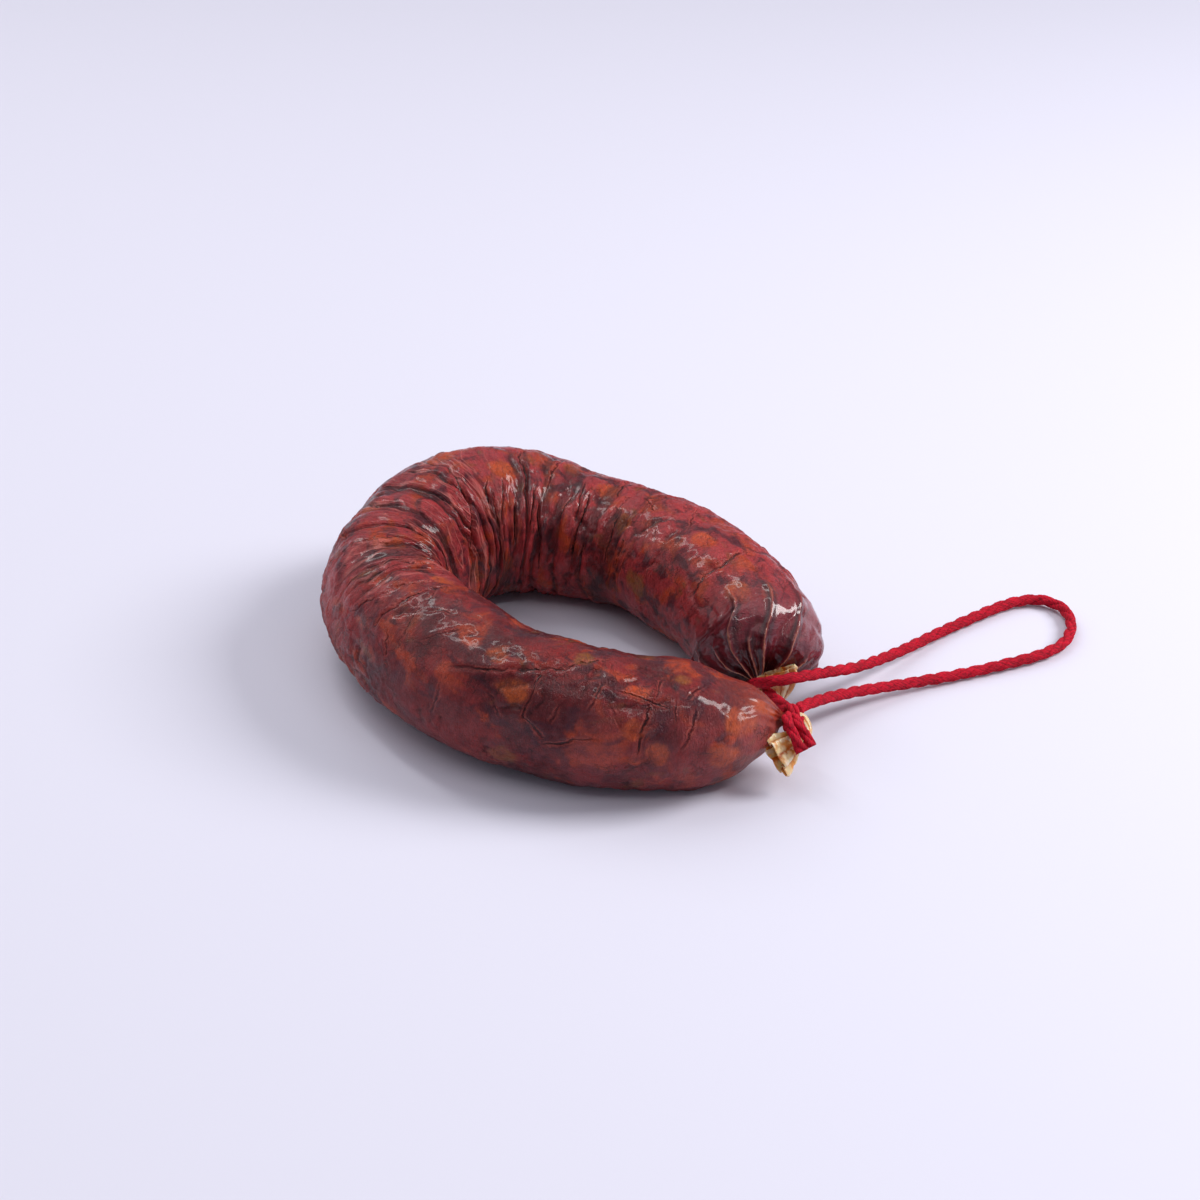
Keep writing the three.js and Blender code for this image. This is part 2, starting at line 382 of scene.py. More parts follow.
# one pleat runs straight out from the rear neck; Side is the signed distance from its edge
group, given, result = smallGroup("pleat", [
    ("Spot", vector), ("Across", vector), ("Out", vector), ("Reach", number), ("High", number),
    ("Rear", number)], ["Height", "Near", "Side"])
pleatGroup = group
skin, acrossWay, outWay, far, high, rear = list(given)[:6]
side = vecCalc(group, "DOT_PRODUCT", skin, acrossWay)
across = calc(group, "ABSOLUTE", side)
out = vecCalc(group, "DOT_PRODUCT", skin, outWay)
inside = times(group, spread(group, out, 0.6, 2.4), rear, spread(group, out, far, times(group, far, 0.6)))
edge = times(group, spread(group, across, 0.95, 0, smooth=False), 0.75)
foot = times(group, spread(group, across, plus(group, 0.8, times(group, out, 0.2)), 0), 0.85)
feed(group, result[0], times(group, plus(group, edge, foot), inside, high))
feed(group, result[1], times(group, spread(group, across, 2.5, 0.4), inside))
feed(group, result[2], side)

# one lump of fat or meat that shows through the casing
group, given, result = smallGroup("fatLump", [
    ("Skin", vector), ("Place", vector), ("Size", number), ("Shade", number)], ["Amount", "Shaded"])
fatGroup = group
skin, place, size, shade = list(given)[:4]
amount = spread(group, vecCalc(group, "DISTANCE", skin, place), size, times(group, size, 0.45))
feed(group, result[0], amount)
feed(group, result[1], times(group, amount, shade))


# keeps the nearest of two lines: how near it is and which side of it the skin lies
def nearest(tree, kept, made, share=1.0):
    near = times(tree, made[1], share)
    closer = calc(tree, "GREATER_THAN", near, kept[0])
    side = plus(tree, kept[1], times(tree, closer, minus(tree, made[2], kept[1])))
    return calc(tree, "MAXIMUM", near, kept[0]), side


# thin long folds round the bend, 0 in a valley and 1 on a crest
def longFolds(tree, spot, spacing, stretch, seed):
    squeezed = stretched(tree, shaken(tree, spot, 9.0, 0.07, 2), 0.5 / spacing, 0.5 / stretch, 0.5 / stretch)
    grain = noise(tree, moved(tree, squeezed, seed, seed, 0), 1.0, 1.5, 0.45)
    return calc(tree, "ABSOLUTE", minus(tree, grain, 0.5))


def bendShare(tree, at):
    return times(tree, band(tree, at["x"], 100, 120, 168, 186), spread(tree, at["around"], 75, 20),
                 spread(tree, at["around"], -175, -130))


# a network of thin lines, about 1 / density apart
def netLines(tree, spot, density, width):
    uneven = stretched(tree, shaken(tree, spot, 10.0, 0.16, 3), 1.3, 1, 1)
    return spread(tree, cellEdge(tree, uneven, density), width, 0.0)


tree, source, sink = geometryTree("casingWrinkles")
place = nodeOf(tree, "GeometryNodeInputPosition").outputs[0]
spot = vecCalc(tree, "SCALE", place, scale=1 / mm)
at = skinPlace(tree, spot)
flat = shakenSkin(tree, spot, at)

bendHere = bendShare(tree, at)
fineFold = spread(tree, longFolds(tree, spot, *sausage["bendFolds"]), 0.0, 0.11, smooth=False)
broadFold = spread(tree, longFolds(tree, spot, 6.5, 40, 8.7), 0.0, 0.15, smooth=False)
foldHeight = times(tree, minus(tree, plus(tree, fineFold, times(tree, broadFold, 0.8)), 1.2), bendHere)

creaseHeight, crease = 0.0, (0.0, 0.0)
for along, around, lean, length, depth in sausage["creases"]:
    c, n = math.cos(math.radians(lean)), math.sin(math.radians(lean))
    v = around * mmPerDegree
    made = useGroup(tree, creaseGroup, flat, (c, -n, 0), (n, c, 0), along * c - v * n, along * n + v * c,
                    length, depth)
    creaseHeight = plus(tree, creaseHeight, made[0])
    crease = nearest(tree, crease, made)

# the far limb's skin is gathered round the deep creases
gathered = times(tree, band(tree, at["x"], 172, 186, 226, 246), spread(tree, at["around"], 40, -10))
gatherFold = spread(tree, longFolds(tree, spot, 5.5, 45, 21.3), 0.0, 0.10, smooth=False)
gatherHeight = times(tree, minus(tree, gatherFold, 0.7), gathered, 1.1)

# nets of shallow furrows on the limbs, in patches
limbShare = times(tree, spread(tree, at["x"], 8, 24), minus(tree, 1.0, times(tree, bendHere, 0.8)))
netOn = times(tree, spread(tree, noise(tree, spot, 0.05, 1), 0.48, 0.62), limbShare)
netHeight = times(tree, netLines(tree, spot, 0.075, 0.09), netOn, -0.55)
smallOn = spread(tree, noise(tree, moved(tree, spot, 40, 0, 0), 0.07, 1), 0.45, 0.6)
smallHeight = times(tree, netLines(tree, spot, 0.19, 0.2), limbShare, smallOn, -0.28)

# lumps of meat and fat under the casing
lumps = times(tree, minus(tree, noise(tree, spot, 0.10, 2), 0.5), 2.2)
swell = times(tree, minus(tree, noise(tree, spot, 0.035, 1), 0.5), 3.6)
crepe = times(tree, minus(tree, noise(tree, stretched(tree, spot, 0.55, 0.3, 0.3), 1.0, 3, 0.55), 0.5), 0.6)
bodyShare = times(tree, spread(tree, at["x"], 4, 26), spread(tree, at["reach"], 2, 10))
lumpHeight = times(tree, plus(tree, lumps, swell, crepe), bodyShare)

# pleats fan out from the rear neck, and the skin between them is crumpled
rearShare = spread(tree, at["fromRear"], 22, 14)
pleatSpot = shaken(tree, spot, times(tree, spread(tree, at["reach"], 1, 12), 1.2), 0.25, 2)
rearPleat, crest = 0.0, (0.0, 0.0)
for around, far, high in sausage["rearPleats"]:
    c, n = math.cos(math.radians(around)), math.sin(math.radians(around))
    made = useGroup(tree, pleatGroup, pleatSpot, (0, c, -n), (0, n, c), far, high, rearShare)
    rearPleat = plus(tree, rearPleat, made[0])
    crest = nearest(tree, crest, made, min(1, high))
crumple = spread(tree, longFolds(tree, stretched(tree, spot, 1.5, 1, 1), 5, 9, 33.0), 0, 0.12, smooth=False)
capCrumple = times(tree, crumple, spread(tree, at["fromRear"], 20, 12), spread(tree, at["reach"], 4, 12),
                   0.75)

ragged = shakenSkin(tree, spot, at, 8.0)
fatAmount, fatShaded = 0.0, 0.0
for along, around, size, shade in sausage["fat"]:
    made = useGroup(tree, fatGroup, ragged, (along, around * mmPerDegree, 0), size, shade)
    fatAmount = plus(tree, fatAmount, made[0])
    fatShaded = plus(tree, fatShaded, made[1])

# fine gathers at the pointed front end
waver = noise(tree, stretched(tree, spot, 0.03, 0.10, 0.10), 1.0, 2)
phase = plus(tree, times(tree, at["around"], math.radians(10)), times(tree, waver, 9.0))
flute = calc(tree, "POWER", calc(tree, "ABSOLUTE", calc(tree, "COSINE", phase)), 3.0)
frontPleat = times(tree, flute, spread(tree, at["x"], 22, 4), spread(tree, at["x"], 1.5, 6), 0.3)

# the front end hangs fuller under its neck and is slimmer behind it, and the bend's inside is pinched
belly = times(tree, band(tree, at["x"], 3, 9, 16, 36), band(tree, at["around"], 40, 95, 150, 180), 2.0)
slim = times(tree, band(tree, at["x"], 8, 20, 36, 56), band(tree, at["around"], -120, -60, 10, 50), -2.2)
pinched = band(tree, at["around"], -130, -100, -70, -35)
notch = times(tree, band(tree, at["x"], 112, 132, 158, 172), pinched, -2.6)
total = plus(tree, belly, slim, notch, foldHeight, creaseHeight, gatherHeight, netHeight, smallHeight,
             rearPleat, capCrumple, frontPleat, lumpHeight)
shown = {
    "fold": plus(tree, foldHeight, gatherHeight, netHeight, smallHeight),
    "creaseNear": crease[0], "creaseSide": crease[1], "crestNear": crest[0], "crestSide": crest[1],
    "fatAmount": fatAmount,
    "fatShade": calc(tree, "DIVIDE", fatShaded, calc(tree, "MAXIMUM", fatAmount, 0.01)),
}
kept = keep(tree, source.outputs[0], "straight", place, "FLOAT_VECTOR")
for name, value in shown.items():
    kept = keep(tree, kept, name, value)
push = nodeOf(tree, "GeometryNodeSetPosition")
feed(tree, push.inputs["Geometry"], kept)
outward = nodeOf(tree, "GeometryNodeInputNormal").outputs[0]
feed(tree, push.inputs["Offset"], vecCalc(tree, "SCALE", outward, scale=times(tree, total, mm)))
feed(tree, sink.inputs[0], push.outputs[0])
nodeModifier(body, tree)
bendOnto(body, spineLine)
applyAll(body)

# what would sink into the table settles flat on it
bpy.ops.object.mode_set(mode="EDIT")
bpy.ops.mesh.select_all(action="DESELECT")
bpy.ops.object.mode_set(mode="OBJECT")
for v in body.data.vertices:
    v.select = v.co.z < 0
bpy.ops.object.mode_set(mode="EDIT")
bpy.ops.transform.resize(value=(1, 1, 0), center_override=(0, 0, 0))
bpy.ops.object.mode_set(mode="OBJECT")
print("  faces", len(body.data.polygons))


def newMaterial(name):
    made = bpy.data.materials.new(name)
    made.use_nodes = True
    shader = made.node_tree.nodes["Principled BSDF"]
    return made, made.node_tree, shader


def attribute(tree, name, output="Fac"):
    made = nodeOf(tree, "ShaderNodeAttribute", attribute_name=name)
    return made.outputs[output]


# cured meat seen through its casing
meat, tree, shader = newMaterial("curedMeat")
spot = vecCalc(tree, "SCALE", attribute(tree, "straight", "Vector"), scale=1 / mm)
at = skinPlace(tree, spot)
tint = {name: colour(*screen) for name, screen in sausage["colours"].items()}

# the crease and pleat lines tremble a little, and the creases fade in and out
tremble = times(tree, minus(tree, noise(tree, spot, 0.8, 3, 0.6), 0.5), 1.1)
broken = spread(tree, noise(tree, moved(tree, spot, 0, 17, 4), 0.33, 2), 0.36, 0.56, 0.25, 1.0)
creaseNear = attribute(tree, "creaseNear")
creaseGap = calc(tree, "ABSOLUTE", plus(tree, attribute(tree, "creaseSide"), tremble))
lineWidth = plus(tree, 0.08, times(tree, creaseNear, creaseNear, 0.30))
lines = times(tree, spread(tree, creaseGap, lineWidth, 0.02), spread(tree, creaseNear, 0.05, 0.9), broken)
# a band beside each crease, raised in the relief and given a painted highlight below
shoulders = band(tree, creaseGap, 0.15, 0.4, 0.45, 0.95)
shoulders = times(tree, shoulders, spread(tree, creaseNear, 0.1, 0.6), broken)
crestNear = attribute(tree, "crestNear")
crestGap = calc(tree, "ABSOLUTE", plus(tree, attribute(tree, "crestSide"), times(tree, tremble, 0.4)))
crests = times(tree, spread(tree, crestGap, 0.30, 0.08), spread(tree, crestNear, 0.2, 0.8))
# the band beside each pleat crest, darkened below as painted shade
furrows = times(tree, band(tree, crestGap, 0.25, 0.7, 0.9, 2.4), spread(tree, crestNear, 0.05, 0.5))

# lean meat, brighter round the bend and along the far limb, with paprika, dark and olive patches
redness = spread(tree, noise(tree, spot, 0.075, 3, 0.6), 0.38, 0.62)
base = blendColours(tree, redness, tint["lean"], tint["red"])
bright = times(tree, spread(tree, at["x"], 88, 130, 0, 0.5), spread(tree, at["around"], 130, 50, 0.2, 1.0))
base = blendColours(tree, bright, base, tint["bright"])
patch = noise(tree, moved(tree, spot, 13, 5, 2), 0.11, 3, 0.5, 0.5)
base = blendColours(tree, spread(tree, patch, 0.51, 0.66, 0, 0.9), base, tint["paprika"])
chunk = noise(tree, moved(tree, spot, 31, 8, 4), 0.17, 3, 0.55, 0.6)
base = blendColours(tree, spread(tree, chunk, 0.48, 0.66, 0, 0.85), base, tint["plum"])
olive = noise(tree, moved(tree, spot, 3, 25, 9), 0.13, 2, 0.5, 0.4)
base = blendColours(tree, spread(tree, olive, 0.62, 0.74, 0, 0.6), base, tint["olive"])
fatColour = blendColours(tree, attribute(tree, "fatShade"), tint["oliveFat"], tint["orangeFat"])
fatGrain = spread(tree, noise(tree, spot, 0.5, 3, 0.6), 0.3, 0.6, 0.45, 1.0)
fatHere = times(tree, spread(tree, attribute(tree, "fatAmount"), 0, 1, 0, 0.85), fatGrain)
base = blendColours(tree, fatHere, base, fatColour)
mottle = noise(tree, spot, 0.8, 5, 0.7)
base = blendColours(tree, spread(tree, mottle, 0.42, 0.66, 0, 0.35), base, tint["mottle"])
flecks = noise(tree, stretched(tree, spot, 2.2, 1.2, 1.2), 1.0, 3, 0.7)
base = blendColours(tree, spread(tree, flecks, 0.60, 0.76, 0, 0.25), base, tint["fleck"])
base = blendColours(tree, spread(tree, at["fromRear"], 24, 8, 0, 0.8), base, tint["rearEnd"])
frontHere = times(tree, spread(tree, at["x"], 26, 7), spread(tree, mottle, 0.6, 0.4, 0.25, 0.6))
base = blendColours(tree, frontHere, base, tint["frontEnd"])

# a dry greyish bloom lies on the outer side of the bend and low down
bloomPlace = spread(tree, at["around"], 25, 95)
bloom = times(tree, spread(tree, noise(tree, spot, 0.07, 5, 0.75), 0.36, 0.62), bloomPlace)
base = blendColours(tree, times(tree, bloom, 0.38), base, tint["bloom"])

# a network of hair cracks, broken up by patches of smooth skin
crackSpot = stretched(tree, shaken(tree, spot, 9.0, 0.2, 4, 0.6), 1.25, 0.8, 0.8)
crackOn = spread(tree, noise(tree, spot, 0.085, 2), 0.50, 0.60)
cracks = times(tree, spread(tree, cellEdge(tree, crackSpot, 0.17), 0.035, 0.0), crackOn)
hairOn = spread(tree, noise(tree, moved(tree, spot, 9, 60, 0), 0.12, 2), 0.42, 0.58)
hairs = times(tree, spread(tree, cellEdge(tree, crackSpot, 0.62), 0.07, 0.0), hairOn)
# painted shade: the fold valleys, the hair cracks and the crease bottoms are darkened
base = blendColours(tree, spread(tree, attribute(tree, "fold"), -0.22, -0.7, 0, 0.6), base, tint["foldShade"])
base = blendColours(tree, times(tree, cracks, 0.45), base, tint["crackShade"])
base = blendColours(tree, times(tree, hairs, 0.15), base, tint["hair"])
base = blendColours(tree, times(tree, lines, 0.85), base, tint["crease"])

# pleat edges and crests are drier and paler, and the furrows between pleats are darkened as painted shade
nearNeck = spread(tree, at["reach"], 17, 4, 0.3, 0.95)
base = blendColours(tree, times(tree, furrows, 0.7), base, tint["furrowShade"])
base = blendColours(tree, times(tree, crests, nearNeck), base, tint["pleatEdge"])
bendHere = bendShare(tree, at)
skinFold = longFolds(tree, spot, *sausage["bendFolds"])
skinFolds = times(tree, spread(tree, skinFold, 0.0, 0.07, smooth=False), bendHere)
shadedBendValley = times(tree, spread(tree, skinFold, 0.02, 0.0), bendHere)
hairFold = longFolds(tree, spot, 1.5, 15, 14.2)
bendCrest = times(tree, spread(tree, hairFold, 0.03, 0.0, smooth=False), bendHere)
# painted shade in the bend's fold valleys
base = blendColours(tree, times(tree, shadedBendValley, 0.75), base, tint["valley"])
# painted highlight on the fine fold crests round the bend
base = blendColours(tree, times(tree, bendCrest, 0.55), base, tint["crest"])
# painted highlight on the crease shoulders
base = blendColours(tree, times(tree, shoulders, 0.35), base, tint["shoulder"])
feed(tree, shader.inputs["Base Color"], base)

# the skin is glossier in some places, most of all at the rear end, and dull under the bloom
gloss = spread(tree, noise(tree, moved(tree, spot, 70, 0, 0), 0.12, 5, 0.7), 0.30, 0.70)
rough = spread(tree, gloss, 0, 1, 0.52, 0.36, smooth=False)
feed(tree, shader.inputs["Roughness"], plus(tree, rough, times(tree, bloom, 0.12)))
coat = plus(tree, 0.15, times(tree, gloss, 0.35), spread(tree, at["fromRear"], 24, 10, 0, 0.45))
feed(tree, shader.inputs["Coat Weight"], times(tree, coat, minus(tree, 1, times(tree, bloom, 0.8))))
shader.inputs["Coat Roughness"].default_value = 0.12
shader.inputs["Specular IOR Level"].default_value = 0.22
shader.inputs["Subsurface Weight"].default_value = 0.08
shader.inputs["Subsurface Radius"].default_value = (0.004, 0.0012, 0.0006)
shader.inputs["Subsurface Scale"].default_value = 1.0

# fine relief, in mm; both ends are smoother
calm = times(tree, spread(tree, at["x"], 6, 28, 0.2, 1.0), spread(tree, at["fromRear"], 8, 26, 0.3, 1.0))
weave = noise(tree, stretched(tree, crackSpot, 1.5, 0.5, 0.5), 1.0, 4, 0.65)
pucker = noise(tree, stretched(tree, spot, 1.3, 0.34, 0.34), 1.0, 2, 0.5, 0.8)
pucker = spread(tree, calc(tree, "ABSOLUTE", minus(tree, pucker, 0.5)), 0.0, 0.10, smooth=False)
pores = noise(tree, spot, 3.0, 3, 0.65)
pleatEdge = times(tree, spread(tree, crestGap, 0.9, 0.0, smooth=False), crestNear)
relief = plus(tree, times(tree, weave, 0.5, calm), times(tree, pucker, 0.16, calm), times(tree, pores, 0.07),
              times(tree, skinFolds, 0.8), times(tree, bendCrest, 0.35), times(tree, lines, -0.35),
              times(tree, shoulders, 0.3), times(tree, cracks, -0.22), times(tree, hairs, -0.08), pleatEdge)
fine = nodeOf(tree, "ShaderNodeBump")
fine.inputs["Strength"].default_value = 1.0
fine.inputs["Distance"].default_value = mm
feed(tree, fine.inputs["Height"], relief)
feed(tree, shader.inputs["Normal"], fine.outputs[0])
body.data.materials.clear()
body.data.materials.append(meat)
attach(body, "root")
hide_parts("sausage")
bpy.data.objects.remove(spineLine)

# the red cotton string; places in mm
string = {
    "thickness": 3.2,
    "plies": 3,
    "pitch": 15,  # one whole turn of the twist
    "loop": [  # out of the rear tie, over the table and back to the front tie
        (48.0, -21.2, 10.6), (53.0, -24.9, 13.8), (59.1, -23.4, 14.4), (67.5, -15.0, 11.2),
        (77.6, -3.9, 6.8), (89.7, 10.3, 3.4), (102.0, 24.0, 1.8), (115.7, 36.0, 1.7),
        (124.6, 42.4, 1.7), (132.4, 44.2, 1.7), (138.2, 39.4, 1.7), (139.1, 30.2, 1.7),
        (135.9, 21.2, 1.7), (129.4, 14.6, 1.7), (119.6, 9.0, 1.7), (105.4, 2.2, 1.7),
        (91.2, -4.8, 2.6), (78.4, -13.1, 5.0), (68.4, -22.1, 8.0), (61.4, -31.2, 11.0),
        (59.0, -35.8, 12.2),
    ],
    "bridge": [(51.8, -21.6, 8.8), (53.4, -26.4, 9.8), (56.4, -33.4, 11.2), (56.8, -37.4, 11.8)],
    "cutEnds": [
        [(57.4, -43.8, 15.2), (58.0, -46.6, 15.6), (60.0, -49.2, 14.0), (61.8, -50.6, 11.0)],
        [(56.2, -44.0, 15.6), (55.6, -47.6, 16.6), (57.4, -51.6, 14.4), (59.4, -53.6, 11.2)],
    ],
    "endThickness": 2.8,
    "tieTurns": 2,
    "tieThickness": 2.3,
    "tieStart": -0.7,  # from the neck's end
    "tieLength": 2.1,
    "step": 0.75,
    "plySides": 10,
    "slack": 0.55,
    "dark": (132, 0, 24),
    "red": (200, 2, 38),
    "fibre": (214, 16, 56),
    "worn": (124, 0, 22),
    "sheen": (240, 60, 90),
}


def makeRope(name, points, thickness, frayed=False):
    line, length = lineThrough(name + "Line", points)
    ply = thickness * 0.31
    centre = thickness * 0.19
    count = max(4, round(length / mm / string["step"]))
    step = length / mm / count
    for k in range(string["plies"]):
        a = 2 * math.pi * k / string["plies"]
        ring = (0, centre * math.cos(a) * mm, centre * math.sin(a) * mm)
        bpy.ops.mesh.primitive_circle_add(vertices=string["plySides"], radius=ply * mm, fill_type="NGON",
                                          location=ring, rotation=acrossX)
        if k == 0:
            rope = bpy.context.object
            rope.name = name
            bpy.ops.object.transform_apply(location=True, rotation=True)
            bpy.ops.object.mode_set(mode="EDIT")
    bpy.ops.mesh.select_all(action="SELECT")
    turn = 2 * math.pi * step / string["pitch"]
    for k in range(count):
        bpy.ops.mesh.extrude_region_move(TRANSFORM_OT_translate={"value": (step * mm, 0, 0)})
        bpy.ops.transform.rotate(value=turn, orient_axis="X", center_override=((k + 1) * step * mm, 0, 0))
        if frayed and k > count - 4:
            bpy.ops.transform.resize(value=(1, 1.1, 1.1), center_override=((k + 1) * step * mm, 0, 0))
    bpy.ops.mesh.select_all(action="SELECT")
    bpy.ops.mesh.normals_make_consistent(inside=False)
    bpy.ops.object.mode_set(mode="OBJECT")
    bpy.ops.object.shade_smooth()
    nodeModifier(rope, ropeTree)
    bendOnto(rope, line)
    applyAll(rope)
    centreLine = [line.matrix_world @ p for p in sampled(line)]
    bpy.data.objects.remove(line)
    rope.data.materials.append(cotton)
    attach(rope, "root")
    return rope, length, centreLine


def sampled(line, each=12):
    found = []
    bez = line.data.splines[0].bezier_points
    for a, b in zip(bez, bez[1:]):
        for k in range(each):
            t = k / each
            found.append(a.co * (1 - t) ** 3 + a.handle_right * 3 * t * (1 - t) ** 2
                         + b.handle_left * 3 * t * t * (1 - t) + b.co * t ** 3)
    return found + [bez[-1].co.copy()]


# plies bulge and slacken a little, and keep their straight place for the fibres
ropeTree, source, sink = geometryTree("ropeSlack")
place = nodeOf(ropeTree, "GeometryNodeInputPosition").outputs[0]
spot = vecCalc(ropeTree, "SCALE", place, scale=1 / mm)
slack = minus(ropeTree, noise(ropeTree, stretched(ropeTree, spot, 0.35, 1, 1), 0.9, 2), 0.5)
untwist = nodeOf(ropeTree, "ShaderNodeVectorRotate", rotation_type="X_AXIS")
apart = nodeOf(ropeTree, "ShaderNodeSeparateXYZ")
feed(ropeTree, apart.inputs[0], spot)
feed(ropeTree, untwist.inputs["Vector"], place)
feed(ropeTree, untwist.inputs["Angle"], times(ropeTree, apart.outputs[0], -2 * math.pi / string["pitch"]))
kept = keep(ropeTree, source.outputs[0], "strand", untwist.outputs[0], "FLOAT_VECTOR")
push = nodeOf(ropeTree, "GeometryNodeSetPosition")
feed(ropeTree, push.inputs["Geometry"], kept)
outward = nodeOf(ropeTree, "GeometryNodeInputNormal").outputs[0]
slackOut = times(ropeTree, slack, string["slack"] * mm)
feed(ropeTree, push.inputs["Offset"], vecCalc(ropeTree, "SCALE", outward, scale=slackOut))
feed(ropeTree, sink.inputs[0], push.outputs[0])

cotton, tree, shader = newMaterial("redCotton")
spot = vecCalc(tree, "SCALE", attribute(tree, "strand", "Vector"), scale=1 / mm)
yarn = noise(tree, stretched(tree, spot, 0.10, 2.6, 2.6), 1.0, 2)
fibre = noise(tree, stretched(tree, spot, 0.5, 7.0, 7.0), 1.0, 3, 0.65)
worn = noise(tree, spot, 0.14, 3, 0.6)
base = blendColours(tree, spread(tree, yarn, 0.34, 0.62), colour(*string["dark"]), colour(*string["red"]))
base = blendColours(tree, spread(tree, fibre, 0.45, 0.8, 0, 0.6), base, colour(*string["fibre"]))
base = blendColours(tree, spread(tree, worn, 0.5, 0.72, 0, 0.35), base, colour(*string["worn"]))
feed(tree, shader.inputs["Base Color"], base)
shader.inputs["Roughness"].default_value = 0.8
shader.inputs["Specular IOR Level"].default_value = 0.25
shader.inputs["Sheen Weight"].default_value = 0.05
shader.inputs["Sheen Roughness"].default_value = 0.4
shader.inputs["Sheen Tint"].default_value = colour(*string["sheen"])
strands = nodeOf(tree, "ShaderNodeBump")
strands.inputs["Strength"].default_value = 1.0
strands.inputs["Distance"].default_value = 0.0004
feed(tree, strands.inputs["Height"], plus(tree, times(tree, yarn, 0.8), times(tree, fibre, 0.35)))
feed(tree, shader.inputs["Normal"], strands.outputs[0])

print("string")
loop, loopLength, loopLine = makeRope("hangingLoop", string["loop"], string["thickness"])
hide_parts("string_loop")
bridge, _, _ = makeRope("betweenTies", string["bridge"], string["thickness"])
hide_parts("string_bridge")
for k, points in enumerate(string["cutEnds"], 1):
    end, _, _ = makeRope("cutEnd%d" % k, points, string["endThickness"], frayed=True)
    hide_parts("string_cut_end_%d" % k)


# turns of string round a neck: neck end and the way out of it
def makeTie(name, neckEnd, inside):
    out = (Vector(neckEnd) - Vector(inside)).normalized()
    side = out.cross(Vector((0, 0, 1))).normalized()
    above = side.cross(out)
    around = sausage["neck"] + string["tieThickness"] / 2 + 0.35
    points = []
    perTurn = 10
    last = string["tieTurns"] * perTurn
    for k in range(last + 1):
        a = 2 * math.pi * k / perTurn + 0.8
        along = string["tieStart"] + string["tieLength"] * k / last
        points.append(Vector(neckEnd) + out * along + (side * math.cos(a) + above * math.sin(a)) * around)
    tie, _, _ = makeRope(name, points, string["tieThickness"])
    return tie


frontTie = makeTie("frontTie", sausage["spine"][0], sausage["spine"][1])
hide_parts("string_tie_front")
rearTie = makeTie("rearTie", sausage["spine"][-1], sausage["spine"][-2])
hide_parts("string_tie_rear")

# the empty casing beyond each tie: it folds over and opens into a fan
tails = {
    "front": {
        "points": [(60.8, -44.8, 11.2), (56.8, -49.4, 10.8), (52.4, -54.0, 9.8)],
        "facing": (0.1, -0.85, 0.5), "halfWidth": 4.9, "halfThickness": 1.7,
    },
    "rear": {
        "points": [(54.8, -20.4, 6.2), (56.0, -20.2, 10.2), (54.4, -20.0, 14.2)],
        "facing": (0.1, -0.95, -0.3), "halfWidth": 4.4, "halfThickness": 1.0,
    },
    "root": 1.2,
    "flutes": 7,
    "rings": 44,
    "around": 112,
    "opensFrom": 0.4,  # share of the length
    "skin": 0.3,
    "amber": (226, 146, 78),
    "cream": (248, 214, 166),
    # valley is painted shade for the folds, crest a painted highlight on them
    "valley": (186, 92, 34),
    "crest": (250, 238, 214),
}


def evenLine(points, count):
    spots = [Vector(p) for p in points]
    spots = [spots[0] * 2 - spots[1]] + spots + [spots[-1] * 2 - spots[-2]]
    fineLine = []
    for p, q, r, s in zip(spots, spots[1:], spots[2:], spots[3:]):
        for k in range(30):
            t = k / 30
            fineLine.append(0.5 * (q * 2 + (r - p) * t + (p * 2 - q * 5 + r * 4 - s) * t * t
                                   + (q * 3 - p - r * 3 + s) * t ** 3))
    fineLine.append(spots[-2])
    reach = [0]
    for a, b in zip(fineLine, fineLine[1:]):
        reach.append(reach[-1] + (b - a).length)
    even, j = [], 0
    for k in range(count + 1):
        want = reach[-1] * k / count
        while j < len(reach) - 2 and reach[j + 1] < want:
            j += 1
        t = (want - reach[j]) / max(reach[j + 1] - reach[j], 1e-9)
        even.append(fineLine[j].lerp(fineLine[j + 1], t))
    return even, reach[-1]


